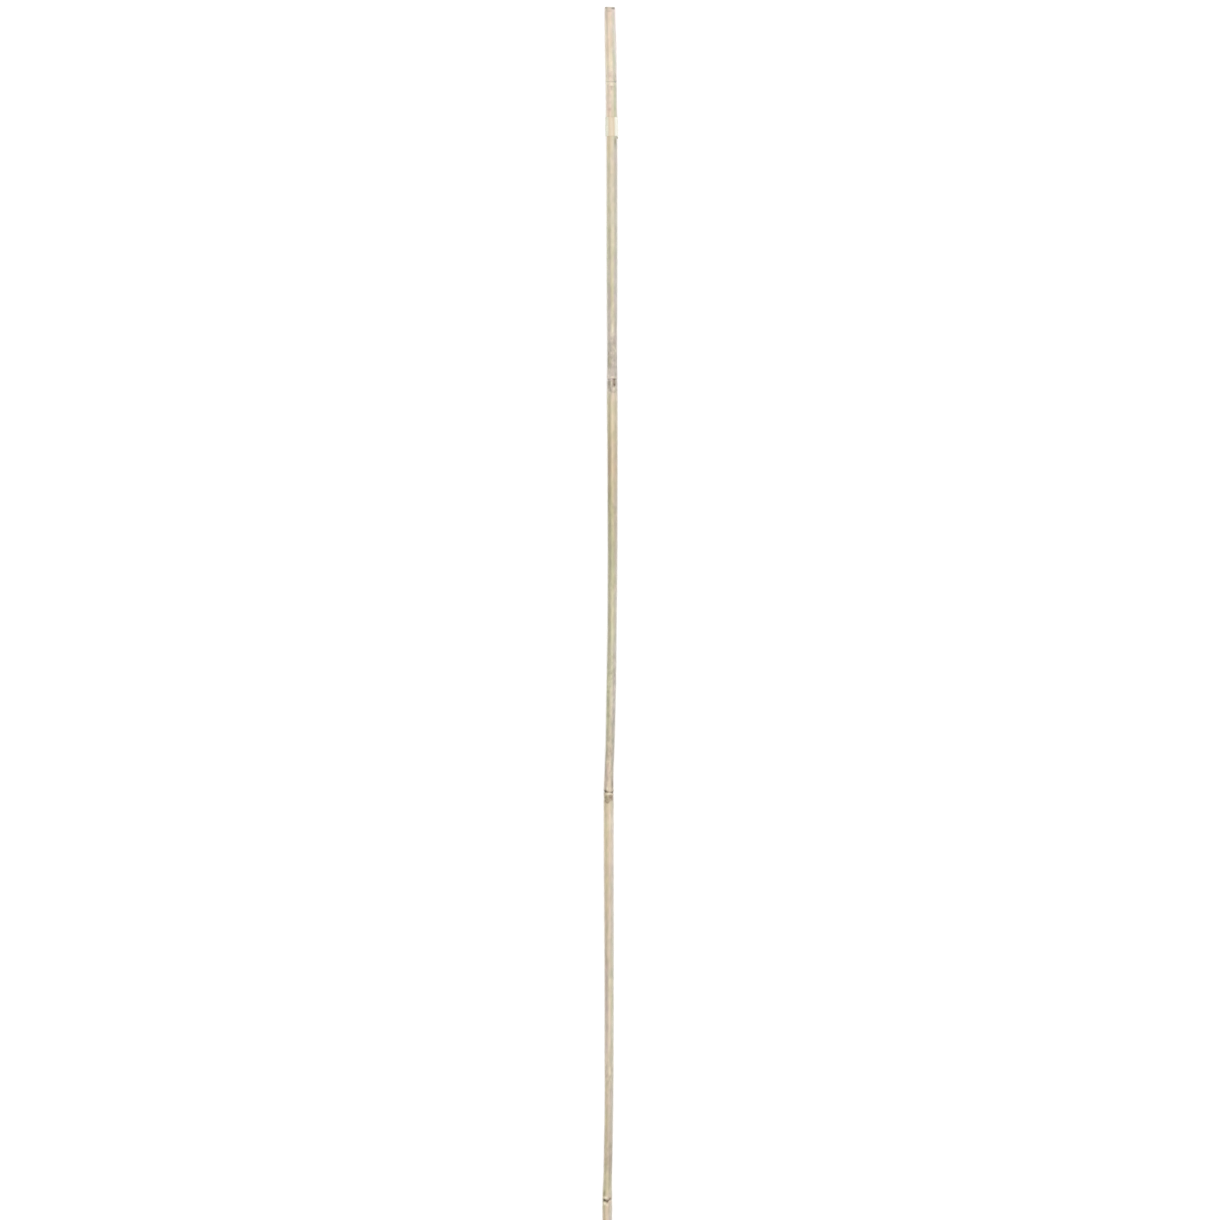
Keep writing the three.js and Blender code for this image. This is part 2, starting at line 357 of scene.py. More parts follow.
height = sum(much * np.sin(count * angle + start + SWAY * slow) for count, much, start in FIBRES)
height = height + DENTS * slow + DIMPLES * patchy
for joint in JOINT_LOOKS:
    u, round_bud = past_scar(joint), turn_from(joint["bud"])
    height = height + belt_of(joint) * (ROOT_DOTS * blotchy + ROUGH_BELT * ragged)
    height = height + TORN_LIP * hump((u + 0.6) / 0.8) * ragged
    rim = np.hypot((u - joint["bud_past"]) / BUD_LONG, round_bud / BUD_WIDE)
    height = height + BUD_RIM * hump((rim - 1) / 0.3) - BUD_DIP * hump(rim / 0.55)
skin_only = share >= 1
radius = (radius + MM * height * skin_only) * share
radius = radius * np.where(share < 0.5, 1 + 0.03 * patchy, 1.0)
x, z = centre_x + radius * np.cos(angle), centre_z + radius * np.sin(angle)
print(f"widest {2 * radius.max() / MM:.1f} mm")

# %% [markdown]
# A fine saw leaves a face that is nearly square to the stem, a little dished, with shallow marks across
# it. Only the distances close to a cut change, so the rest of the stem stays as it grew. SAW_SLANT is mm
# up for each mm across, CUT_RIM is a share of the radius, and the rest is in mm. Last, the whole skin is
# lifted if any fine height reached below the floor.

# %% Saw cuts
SAW_SLANT, SAW_DISH, SAW_FADE = 0.03, 0.4, 3
SAW_BITE, SAW_ROUGH, CUT_DEEP, CUT_RIM = 0.06, 0.05, 0.3, 0.96

saw_marks = SAW_BITE * np.sin(5.5 * (x / MM) + 2.1 * (z / MM)) + SAW_ROUGH * blotchy
on_cut = (distance < CUT_DEEP) | (distance > LENGTH / MM - CUT_DEEP)
thick_half = distance < LENGTH / MM / 2
slant = SAW_SLANT * (x - x[ENDS - 1].min()) / MM + SAW_DISH * np.sin(angle) ** 2
bitten = np.where(on_cut, np.abs(saw_marks) * (share < CUT_RIM), 0) * np.where(thick_half, 1, -1)
into = distance + bitten + slant * hump(distance / SAW_FADE)
y = cad_high.y - into * MM
z = z + np.maximum(cad_low.z - z.min(), 0)
print(f"the saw bit up to {np.abs(bitten).max():.2f} mm deep; the underside is at {z.min() / MM:.3f} mm")

# %% [markdown]
# ## Colours along the stem
#
# The cane isn't one colour. It is pinkish cream at the thick end, then straw with an olive cast, greyer
# under the wax before each joint and warm tan past it. The rows also hold painted shade and light: the
# left flank is painted darker than the crown, as if the light came a little from the right. Each row below
# gives a place in mm and what the cane looks like there at five sides, from its left flank over its crown
# to its right flank, and the rows and the sides blend into each other. A side is told by its cosine.

# %% Tints
ACROSS = (-0.6, -0.3, 0.0, 0.3, 0.6)
# The rows mix the cane's own colours with painted shade: the left flank is painted darker and the crown
# lighter.
TINTS_WITH_PAINTED_SHADE = [
    (0, (209, 197, 183), (220, 205, 186), (219, 197, 179), (229, 213, 200), (236, 223, 218)),
    (45, (219, 203, 184), (239, 220, 194), (229, 210, 185), (220, 212, 194), (221, 217, 208)),
    (70, (217, 210, 192), (235, 217, 198), (235, 216, 198), (228, 218, 198), (208, 207, 190)),
    (100, (223, 201, 189), (218, 198, 179), (210, 193, 171), (218, 209, 180), (195, 195, 168)),
    (135, (215, 201, 173), (217, 201, 171), (214, 198, 174), (209, 200, 181), (203, 197, 186)),
    (150, (200, 195, 171), (212, 203, 177), (218, 205, 180), (215, 204, 185), (203, 193, 184)),
    (215, (197, 191, 170), (199, 194, 166), (210, 203, 175), (217, 210, 186), (201, 195, 182)),
    (280, (190, 182, 172), (191, 183, 156), (200, 191, 154), (204, 196, 171), (196, 188, 184)),
    (325, (189, 179, 174), (196, 186, 175), (218, 208, 190), (217, 205, 191), (198, 185, 179)),
    (345, (147, 143, 128), (161, 155, 139), (185, 178, 163), (190, 181, 171), (179, 172, 169)),
    (358, (214, 205, 203), (211, 194, 193), (201, 180, 176), (210, 196, 189), (216, 207, 203)),
    (385, (190, 181, 154), (206, 192, 165), (216, 201, 171), (213, 202, 174), (209, 197, 177)),
    (450, (168, 152, 132), (189, 173, 143), (212, 198, 158), (208, 192, 162), (199, 181, 163)),
    (482, (174, 168, 142), (185, 179, 144), (189, 181, 141), (196, 186, 161), (197, 184, 171)),
    (600, (175, 170, 151), (185, 181, 153), (199, 196, 160), (201, 194, 169), (199, 192, 179)),
    (660, (183, 178, 154), (187, 184, 155), (201, 198, 166), (210, 204, 184), (199, 190, 182)),
    (725, (179, 175, 153), (192, 181, 157), (194, 179, 157), (190, 179, 161), (177, 173, 160)),
    (748, (181, 167, 154), (196, 178, 164), (214, 190, 174), (213, 198, 179), (194, 188, 167)),
    (785, (201, 190, 164), (218, 202, 175), (219, 198, 173), (230, 214, 190), (221, 211, 194)),
    (850, (202, 186, 164), (208, 191, 167), (203, 186, 161), (205, 193, 173), (205, 197, 185)),
    (925, (188, 174, 161), (198, 183, 165), (207, 194, 168), (207, 197, 176), (203, 198, 182)),
    (1010, (197, 185, 173), (206, 192, 176), (213, 197, 175), (213, 201, 180), (206, 198, 183)),
    (1080, (195, 184, 157), (199, 184, 161), (190, 173, 156), (196, 180, 168), (203, 193, 182)),
    (1120, (184, 170, 150), (186, 171, 150), (182, 165, 145), (180, 166, 148), (179, 168, 152)),
    (1148, (193, 188, 160), (205, 193, 163), (206, 191, 159), (199, 190, 163), (204, 197, 177)),
    (1180, (193, 178, 154), (215, 192, 170), (218, 194, 174), (211, 193, 179), (212, 198, 192)),
]
print(len(TINTS_WITH_PAINTED_SHADE), "places with", len(ACROSS), "sides each")

# %% [markdown]
# The rows are blended as light, not as screen colours, which would come out too dark between two hues.
# Past the last side each flank is painted lighter: on the left a painted light against the shading of
# the rounded side, on the right a painted bluish-white sheen. The underside takes a mean of the crown and
# both flanks. Then the clouds make it all uneven, in lightness and towards rose or straw.

# %% Tints blended
BRIGHTNESS = 0.79
SIDE_WANDER, CROWN_REACH = 0.06, 0.45
FLANK_FROM, FLANK_REACH = 0.66, 0.24
UNEVEN = ((slow, 0.03), (patchy, 0.085), (dappled, 0.07), (blotchy, 0.025))
# The outer left flank is painted lighter against its shading, and the outer right flank gets a painted
# bluish-white sheen.
LEFT_EDGE_PAINTED_LIGHT, RIGHT_EDGE_PAINTED_SHEEN = (0.17, 0.19, 0.155), (0.09, 0.12, 0.18)
ROSY, STRAWY = (0.038, -0.022, 0.02), (0.0, 0.0, -0.045)


def linear(colour):
    """Screen colour 0 to 255 turned to light: ((c + 0.055) / 1.055)^2.4, or c / 12.92 when dark."""
    c = np.asarray(colour, float) / 255
    return np.where(c > 0.04045, ((c + 0.055) / 1.055) ** 2.4, c / 12.92)


def tint_for(side):
    """One side's colour for every ring, blended between the stretches."""
    stops = np.array([row[0] for row in TINTS_WITH_PAINTED_SHADE], float)
    colours = linear([row[side] for row in TINTS_WITH_PAINTED_SHADE])
    return np.stack([np.interp(distance[:, 0], stops, c) for c in colours.T], 1)[:, None, :]


lean = np.cos(angle)[None, :, None] + SIDE_WANDER * slow[:, :, None]
over_top = tint_for(1)
for side, start in enumerate(ACROSS[:-1], 2):
    over_top = over_top + (tint_for(side) - over_top) * ease((lean - start) / (ACROSS[1] - ACROSS[0]))
under = (tint_for(1) + 2 * tint_for(3) + tint_for(5)) / 4
tint = under + (over_top - under) * ease((np.sin(angle) + 0.05) / CROWN_REACH)[None, :, None]
# Painted light on the outer flanks: lighter on the left, a bluish-white sheen on the right, faded out
# underneath.
outer = ease((np.abs(lean) - FLANK_FROM) / FLANK_REACH) * ease(1.4 + 4 * np.sin(angle))[None, :, None]
tint = tint * (1 + outer * np.where(lean < 0, LEFT_EDGE_PAINTED_LIGHT, RIGHT_EDGE_PAINTED_SHEEN))
tint = tint * (1 + sum(much * chance for chance, much in UNEVEN))[:, :, None]
tint = tint * (1 + (0.6 * warmth + 0.4 * dappled)[:, :, None] * ROSY + straw[:, :, None] * STRAWY)
print("mean tint", np.round(tint.mean((0, 1)), 3))

# %% [markdown]
# ## Weathered stretches
#
# Here and there rain and rubbing have roughened the skin, most of all where the wax lies thick before a
# joint. There the even colour breaks up into flecks a few millimetres long. Each stretch is given by its
# middle, its half length and how strongly it is flecked.

# %% Weather
WEATHERED = [(279, 16, 0.35), (332, 24, 1.0), (494, 15, 0.45), (566, 14, 0.4), (644, 18, 0.9), (684, 20, 0.6),
             (727, 20, 0.8), (953, 16, 0.3), (1034, 20, 0.55), (1112, 18, 0.5)]
FLECKS, SMUDGES = 0.27, 0.21

weathered = sum(much * hump((distance - place) / half) for place, half, much in WEATHERED)
tint = tint * (1 + weathered * (FLECKS * flecked + SMUDGES * smudged))[:, :, None]
print("skin that is flecked:", round(float((weathered > 0.4).mean()), 2))

# %% [markdown]
# ## Wax, scars and stains
#
# Wax gathers just before each joint as a dull pinkish bloom. The scar is a dark thread, with a pale ring
# of young skin past it, and the belt is mottled brown. The marks that make each joint different are
# listed one by one: place in mm, side in degrees, half length in mm, half width in degrees, earth and
# strength.

# %% Marks
WAX, SCAR = linear((214, 198, 186)), linear((72, 60, 42))
PALE, BELT = linear((247, 233, 212)), linear((136, 119, 93))
EARTHS = dict(
    ash=(150, 143, 131), umber=(108, 88, 66), soot=(80, 70, 38), olive=(136, 130, 94),
    clay=(142, 121, 103), cream=(248, 237, 217), rose=(226, 204, 192), rust=(170, 138, 120),
    slate=(160, 162, 166), char=(96, 90, 84))
MARKS = [
    # the sawn rim of the thick end
    (0.3, 156, 1.1, 36, "ash", 0.8), (1.1, 36, 1.3, 38, "ash", 1.0), (0.0, 92, 0.6, 60, "ash", 0.5),
    (0.9, 51, 1.1, 16, "char", 0.75), (0.2, 152, 0.8, 18, "char", 0.55), (4.4, 98, 0.6, 26, "clay", 0.4),
    (40.5, 70, 1.2, 30, "cream", 0.25),
    # joint one, the stain before the film, and a dark olive streak just past the film's lower edge
    (66.9, 109, 3.0, 24, "rust", 0.3), (75.1, 87, 1.4, 19, "cream", 0.9),
    (77.6, 84, 0.55, 28, "umber", 0.42), (79.4, 87, 1.7, 9, "umber", 0.3),
    (72.6, 32, 0.8, 13, "slate", 0.7), (99.6, 112, 1.5, 20, "rust", 0.5),
    (84.0, 112, 9.0, 22, "rose", 0.35), (130.6, 48, 3.0, 14, "olive", 0.8),
    # joint two: a long oval where a branch stood, ash on its left
    (356.8, 38, 1.6, 14, "ash", 0.6), (359.2, 90, 1.0, 80, "cream", 0.35),
    (361.5, 68, 1.2, 16, "umber", 0.8), (364.0, 64, 2.8, 19, "clay", 0.8),
    (366.4, 63, 1.6, 16, "umber", 0.95), (365.0, 98, 1.9, 7, "cream", 0.75),
    (370.4, 69, 1.5, 15, "cream", 0.7), (365.0, 131, 4.2, 22, "ash", 0.95),
    (371.2, 111, 2.4, 15, "ash", 0.85), (373.4, 97, 1.8, 11, "ash", 0.75),
    (374.0, 119, 0.9, 9, "cream", 0.5),
    # joint three: soot at both ends of the line, a pale ring, then a dark wedge
    (753.5, 34, 4.6, 26, "ash", 1.0), (758.2, 109, 1.6, 12, "cream", 0.95),
    (760.7, 144, 1.9, 31, "soot", 1.0), (761.6, 112, 0.9, 14, "umber", 0.7),
    (761.8, 32, 1.4, 26, "umber", 0.95), (763.3, 84, 0.8, 42, "cream", 0.9),
    (766.2, 64, 2.0, 26, "clay", 1.0), (768.4, 44, 1.8, 14, "clay", 0.6),
    (766.8, 126, 2.3, 27, "olive", 0.85), (769.9, 143, 1.1, 16, "umber", 0.5),
    (771.0, 122, 1.1, 15, "umber", 0.5), (771.6, 104, 1.1, 13, "umber", 0.6),
    (770.6, 90, 0.8, 10, "umber", 0.45), (769.2, 112, 1.3, 27, "clay", 0.5),
    # joint four: a dark line that drops and climbs again, between pale lips
    (1150.8, 140, 2.7, 24, "olive", 0.95), (1153.2, 48, 2.2, 18, "rose", 0.45),
    (1154.9, 110, 1.2, 27, "cream", 1.0), (1155.6, 52, 1.5, 22, "clay", 0.8),
    (1157.1, 134, 1.4, 40, "soot", 1.0), (1158.3, 93, 1.6, 17, "umber", 1.0),
    (1160.6, 122, 1.2, 19, "cream", 1.0), (1162.0, 97, 1.0, 13, "cream", 0.5),
    (1159.2, 40, 1.2, 24, "rose", 0.7), (1163.2, 138, 1.3, 12, "olive", 0.5),
    # weather on the plain stretches
    (478, 168, 16, 26, "olive", 0.4), (1037, 95, 1.2, 70, "umber", 0.2), (1133, 62, 6.0, 18, "ash", 0.4),
    (512, 250, 20, 40, "ash", 0.3), (905, 300, 34, 34, "ash", 0.25), (236, 285, 26, 30, "olive", 0.3),
]


print(len(MARKS), "marks in", len(EARTHS), "earths")

# %% [markdown]
# Each coat pulls the tint towards its own colour by some share, and the clouds break the share up. They
# go on in the order in which they came about: wax, young skin, the mottled belt, the torn line and then
# the marks.

# %% Coats on the skin
BLOOM, BLOOM_FLECKS = 0.42, 0.09
RING_AT, RING_HALF, THREAD_AT, THREAD_HALF = 2.3, 0.9, 0.3, 0.42


def pull(tint, colour, amount):
    """tint + (colour - tint) amount, for every ring and angle."""
    return tint + (colour - tint) * np.clip(amount, 0, 1)[:, :, None]


wax = np.zeros_like(slow)
for joint in JOINT_LOOKS:
    u, round_bud = past_scar(joint), turn_from(joint["bud"])
    bloom = ease((u + joint["wax"]) / (0.7 * joint["wax"])) * (1 - ease(u + 1.2))
    bloom = bloom * (0.62 + 0.38 * patchy)
    wax = np.maximum(wax, bloom)
    tint = pull(tint, WAX, BLOOM * bloom) * (1 + BLOOM_FLECKS * bloom * (dappled + blotchy))[:, :, None]
    tint = pull(tint, PALE, joint["pale"] * hump((u - RING_AT) / RING_HALF) * (0.8 + 0.4 * patchy))
    tint = pull(tint, BELT, joint["mottle"] * belt_of(joint) * ease(0.62 + 0.5 * blotchy + 0.25 * ragged))
    dark = torn_line(joint, 2)
    thread = hump((u - THREAD_AT) / (THREAD_HALF + 0.3 * dark))
    tint = pull(tint, SCAR, dark * thread * (0.9 + 0.3 * blotchy))
for place, side, long, wide, earth, strength in MARKS:
    spot = hump((distance - place) / long) * hump(turn_from(side) / np.radians(wide))
    tint = pull(tint, linear(EARTHS[earth]), strength * spot * (0.9 + 0.35 * blotchy + 0.15 * ragged))
print("wax covers", round(float((wax > 0.3).mean()), 3), "of the skin's points")

# %% [markdown]
# The sawn faces show the pale wood inside, and the hollows have a browner lining.

# %% Wood and pith
FACE_FROM, LINING_FROM = 0.975, 0.4
cut = (share < FACE_FROM).astype(float) + np.zeros(AROUND)
CUT_WOOD, PITH = linear((206, 190, 160)), linear((168, 146, 112))
tint = pull(tint, CUT_WOOD, cut)
tint = pull(tint, PITH, np.where(share < LINING_FROM, 0.8, 0.0) + np.zeros(AROUND))
tint = tint * BRIGHTNESS
print("share of the rings' points that are inside the rim:", round(float(cut.mean()), 3))

# %% [markdown]
# ## Closing the skin
#
# The grid becomes a mesh: four-sided faces between rings, and a fan of triangles at the bottom of each
# hollow, where a ring has shrunk to a point. Corners are listed so that every face looks outwards.


# %% Grid to faces
def closed_grid(x, y, z):
    """Points and faces of a grid that wraps round and ends in a point at its first and last ring."""
    rings, around = x.shape
    spots = np.stack([x, y, z], 2)
    spots = np.concatenate([spots[:1, 0], spots[1:-1].reshape(-1, 3), spots[-1:, 0]])
    k = np.arange(around)
    after = (k + 1) % around
    row = 1 + around * np.arange(rings - 3)[:, None]
    quads = np.stack([row + k, row + after, row + around + after, row + around + k], 2).reshape(-1, 4)
    first = np.stack([np.zeros_like(k), 1 + after, 1 + k], 1)
    base = 1 + around * (rings - 3)
    last = np.stack([base + k, base + after, np.full_like(k, len(spots) - 1)], 1)
    return spots, quads, first, last


spots, quads, first_fan, last_fan = closed_grid(x, y, z)
print(len(spots), "points,", len(quads), "four-sided faces,", 2 * len(first_fan), "triangles in the fans")

# %% [markdown]
# The flat layout for the finish folds the long stem into strips, one above another, because one long
# strip would leave the finish blurred.

# %% Flat layout
STRIPS, GUTTER = 7, 0.04
STRIP_FROM, STRIP_RUN = 0.02, 0.93


def strip_layout(along, rings, around):
    """Flat places for every face corner: the length cut into STRIPS equal runs, stacked one above another.

    u = (distance - start of the run) / run, v = (strip + share of the way round) / STRIPS.
    """
    run = along[-1] / STRIPS
    k = np.arange(around)

    def at(corner_ring, home_ring, side):
        """One corner's place, in the strip that its face's first ring is in."""
        strip = np.minimum(np.floor(along[home_ring] / run), STRIPS - 1)
        u = (along[corner_ring] - strip * run) / run
        v = (strip + GUTTER + (1 - 2 * GUTTER) * side / around) / STRIPS
        return np.stack(np.broadcast_arrays(STRIP_FROM + STRIP_RUN * u, v), -1)

    home = np.arange(1, rings - 2)[:, None]
    near, far = (at(home, home, k), at(home, home, k + 1)), (at(home + 1, home, k + 1), at(home + 1, home, k))
    quads = np.stack([*near, *far], 2)
    start, end = np.zeros(1, int), np.full(1, rings - 1)
    first = np.stack([at(start, start, k + 0.5), at(start + 1, start, k + 1), at(start + 1, start, k)], 1)
    last = np.stack([at(end - 1, end - 1, k), at(end - 1, end - 1, k + 1), at(end, end - 1, k + 0.5)], 1)
    return quads.reshape(-1, 2), first.reshape(-1, 2), last.reshape(-1, 2)


walked = np.r_[0, np.cumsum(np.hypot(np.diff(path[:, 0]), np.diff(radius.mean(1) / MM)))]
layouts = strip_layout(walked, len(path), AROUND)
print(STRIPS, "strips, each", round(walked[-1] / STRIPS), "mm of skin")


# %% Mesh of the cane
def make_mesh(name, spots, face_groups, layouts):
    """A smooth mesh from points and groups of faces of equal size, with its flat layout."""
    mesh = bpy.data.meshes.new(name)
    corners = np.concatenate([g.ravel() for g in face_groups])
    sizes = np.concatenate([np.full(len(g), g.shape[1]) for g in face_groups])
    mesh.vertices.add(len(spots))
    mesh.vertices.foreach_set("co", spots.astype(np.float32).ravel())
    mesh.loops.add(len(corners))
    mesh.loops.foreach_set("vertex_index", corners.astype(np.int32))
    mesh.polygons.add(len(sizes))
    mesh.polygons.foreach_set("loop_start", np.r_[0, np.cumsum(sizes)[:-1]].astype(np.int32))
    mesh.polygons.foreach_set("use_smooth", np.ones(len(sizes), bool))
    mesh.update(calc_edges=True)
    flat = mesh.uv_layers.new(name="OFBake", do_init=False)
    flat.uv.foreach_set("vector", np.concatenate(layouts).astype(np.float32).ravel())
    mesh.validate()
    piece = bpy.data.objects.new(name, mesh)
    bpy.context.scene.collection.objects.link(piece)
    return piece


cane = make_mesh("bamboo_cane", spots, [quads, first_fan, last_fan], layouts)
print("the cane has", len(cane.data.polygons), "faces")

# %% [markdown]
# The finish needs to know things that only this script knows: the tint, how waxy, sawn or weathered a
# point is, and where it would be if the cane were straight. Each goes on the mesh as a value per point.
# The volume tells whether the skin is closed and the right way out.


# %% Values for the finish
def give(piece, name, kind, values):
    """Stores one value per point of a piece, for its finish to read."""
    store = piece.data.attributes.new(name, kind, "POINT")
    field = "vector" if kind == "FLOAT_VECTOR" else "color"
    store.data.foreach_set(field, values.astype(np.float32).ravel())


def volume_inside(spots, faces):
    """Sum of a . (b x c) / 6 over each face's triangles: above 0 where the faces point outwards."""
    fans = [spots[faces[:, [0, i, i + 1]]] for i in range(1, faces.shape[1] - 1)]
    return sum(float(np.sum(f[:, 0] * np.cross(f[:, 1], f[:, 2]))) for f in fans) / 6


def per_point(grid):
    """A ring-by-angle grid of values in the order of the closed skin's points."""
    return np.concatenate([grid[:1, 0], grid[1:-1].reshape(-1, grid.shape[2]), grid[-1:, 0]])


straight = np.stack([radius * np.cos(angle), distance * MM + 0 * radius, radius * np.sin(angle)], 2)
opaque = np.ones_like(wax)
give(cane, "straight", "FLOAT_VECTOR", per_point(straight))
give(cane, "tint", "FLOAT_COLOR", per_point(np.concatenate([tint, opaque[:, :, None]], 2)))
give(cane, "feel", "FLOAT_COLOR", per_point(np.stack([wax, cut, weathered * opaque, opaque], 2)))
held = sum(volume_inside(spots, faces) for faces in (quads, first_fan, last_fan))
print(f"the cane holds {held / MM**3 / 1000:.1f} cubic centimetres")

# %% [markdown]
# ## The finish of the skin
#
# Bamboo skin is hard and silky. Fine fibres run the whole length, so every pattern is stretched along the
# stem. It is laid out on the straightened cane, not in the room, so the fibres follow the bow. Broad
# streaks lean towards yellow-green or pink, fine ones only change the lightness, and sparse specks are
# old mildew.


# %% Node helpers
class Finish:
    """A material and short ways to add nodes to it."""

    def __init__(self, name):
        """Starts from the plain Principled shader."""
        self.material = bpy.data.materials.new(name)
        self.material.use_nodes = True
        self.tree = self.material.node_tree
        self.shader = self.tree.nodes["Principled BSDF"]

    def node(self, kind, inputs=(), **settings):
        """A new node with its settings, and its inputs fed."""
        made = self.tree.nodes.new(kind)
        for key, value in settings.items():
            setattr(made, key, value)
        for key, value in dict(inputs).items():
            self.feed(made.inputs[key], value)
        return made

    def feed(self, socket, value):
        """Joins a node's output to a socket, or sets a plain value on it."""
        if isinstance(value, bpy.types.NodeSocket):
            self.tree.links.new(value, socket)
        else:
            socket.default_value = value

    def read(self, name, field="Color"):
        """What give() stored on the piece's points."""
        return self.node("ShaderNodeAttribute", attribute_name=name).outputs[field]

    def stretch(self, vector, scale):
        """Vector times scale, axis by axis: a small number makes a pattern long that way."""
        return self.node("ShaderNodeVectorMath", {0: vector, 1: scale}, operation="MULTIPLY").outputs[0]

    def noise(self, vector, scale, detail=2.0, rough=0.5):
        """Soft chance from about 0.2 to 0.8, scale cells to a metre along each axis."""
        where = self.stretch(vector, scale)
        values = {"Vector": where, "Scale": 1.0, "Detail": detail, "Roughness": rough}
        return self.node("ShaderNodeTexNoise", values).outputs["Fac"]

    def span(self, value, low, high, to_low, to_high):
        """Carries low...high to to_low...to_high in a straight line, held at both ends."""
        values = {"Value": value, "From Min": low, "From Max": high, "To Min": to_low, "To Max": to_high}
        return self.node("ShaderNodeMapRange", values).outputs["Result"]

    def maths(self, operation, a, b):
        """One sum on two numbers."""
        return self.node("ShaderNodeMath", {0: a, 1: b}, operation=operation).outputs[0]

    def blend(self, share, a, b, how="MIX"):
        """Colour a with b laid over it by a share, mixed or multiplied."""
        made = self.node("ShaderNodeMix", data_type="RGBA", blend_type=how)
        for socket, value in zip((made.inputs[0], made.inputs[6], made.inputs[7]), (share, a, b)):
            self.feed(socket, value)
        return made.outputs[2]

    def lay_on(self, piece, looks):
        """Sets the shader's own inputs by name and gives the material to a piece."""
        for name, value in looks.items():
            self.feed(self.shader.inputs[name], value)
        piece.data.materials.append(self.material)


print("ways to build a finish:", [way for way in vars(Finish) if not way.startswith("_")])

# %% [markdown]
# Six patterns of chance are enough. Their scales are cells to a metre across and along the stem, so a
# small middle number makes long threads: a streak is 200 mm long and 2 mm wide, a hair 8 mm by 0.2 mm.

# %% Patterns of the skin
skin = Finish("cane_skin")
grain, tinted, feel = skin.read("straight", "Vector"), skin.read("tint"), skin.read("feel")
parts = skin.node("ShaderNodeSeparateColor", {0: feel})
waxy, sawn, worn = parts.outputs

fibre = skin.noise(grain, (2600, 26, 2600), 3.0, 0.62)
streak = skin.noise(grain, (430, 5, 430), 2.0, 0.5)
hair = skin.noise(grain, (5200, 120, 5200), 2.0, 0.6)
speck = skin.noise(grain, (2300, 1500, 2300), 1.0, 0.4)
scuff = skin.noise(grain, (1200, 480, 1200), 3.0, 0.65)
where_mildew = skin.noise(grain, (160, 22, 160), 2.0, 0.5)
print("the patterns take", len(skin.tree.nodes), "nodes")

# %% [markdown]
# Colour is laid on in coats: the tint worked out for each point, a greenish or pinkish cast in long
# streaks, fibres that lighten and darken it, scuffs where the skin is weathered, then mildew.

# %% Colour of the skin
GREEN, PINK, MILDEW = (0.975, 1.0, 0.9, 1), (1.03, 0.985, 0.985, 1), (0.2, 0.17, 0.11, 1)
cast = skin.blend(skin.span(streak, 0.36, 0.64, 0, 1), GREEN, PINK)
colour = skin.blend(1.0, tinted, cast, "MULTIPLY")
colour = skin.blend(1.0, colour, skin.span(fibre, 0.25, 0.75, 0.9, 1.08), "MULTIPLY")
colour = skin.blend(1.0, colour, skin.span(hair, 0.25, 0.75, 0.95, 1.05), "MULTIPLY")
scuffed = skin.blend(1.0, colour, skin.span(scuff, 0.33, 0.67, 0.84, 1.12), "MULTIPLY")
colour = skin.blend(worn, colour, scuffed)
mildew = skin.maths("MULTIPLY", skin.span(speck, 0.66, 0.74, 0, 0.7),
                    skin.span(where_mildew, 0.5, 0.66, 0, 1))
colour = skin.blend(mildew, colour, MILDEW)
print("with colour", len(skin.tree.nodes))

# %% [markdown]
# A sawn face shows the stem's fibre bundles end on, as dark dots that crowd together towards the rim.
# Cells of chance that don't change along the stem give them, so each dot runs into the wood like a fibre.

# %% Sawn faces
BUNDLE = (0.24, 0.16, 0.085, 1)
bundles = skin.node("ShaderNodeTexVoronoi", {"Vector": skin.stretch(grain, (2300, 0, 2300)), "Scale": 1.0})
flat_grain = skin.stretch(grain, (1, 0, 1))
reach = skin.node("ShaderNodeVectorMath", {0: flat_grain}, operation="LENGTH").outputs["Value"]
crowding = skin.span(reach, 0.0015, 0.0045, -0.1, 0.16)
dots = skin.span(skin.maths("SUBTRACT", bundles.outputs["Distance"], crowding), 0.1, 0.3, 1, 0)
face = skin.blend(skin.maths("MULTIPLY", dots, 0.62), colour, BUNDLE)
colour = skin.blend(sawn, colour, face)
print("with the sawn faces", len(skin.tree.nodes))

# %% [markdown]
# Bare skin is silky, and wax, weather and the saw each leave it rougher. The fibres also stand up a
# little, by far less than the mesh can show, so their relief is bump.

# %% Sheen and relief
rough = skin.span(fibre, 0.25, 0.75, 0.33, 0.45)
rough = skin.maths("ADD", rough, skin.maths("MULTIPLY", waxy, 0.2))
rough = skin.maths("ADD", rough, skin.maths("MULTIPLY", worn, 0.12))
rough = skin.maths("ADD", rough, skin.maths("MULTIPLY", sawn, 0.38))
relief = skin.maths("ADD", fibre, skin.maths("MULTIPLY", hair, 0.6))
relief = skin.maths("ADD", relief, skin.maths("MULTIPLY", skin.maths("MULTIPLY", scuff, worn), 0.8))
bump = skin.node("ShaderNodeBump", {"Height": relief, "Strength": 0.22, "Distance": 0.00012})

skin.lay_on(cane, {"Base Color": colour, "Roughness": rough, "Normal": bump.outputs[0],
                   "Specular IOR Level": 0.42})
print("the whole skin finish has", len(skin.tree.nodes), "nodes")

# %% [markdown]
# ## The label film
#
# A narrow wrap of milky film sits near the thick end, with nothing printed on it. It is cut from a roll
# and lapped, so it has a seam, its edges wander a little and one lower corner hangs. It is an outer and
# an inner wall joined at both edges, read from the box of the packed film and from the cane inside it.
# Its corner hangs a little less than the packed one's. Sizes are in mm and sides in degrees.

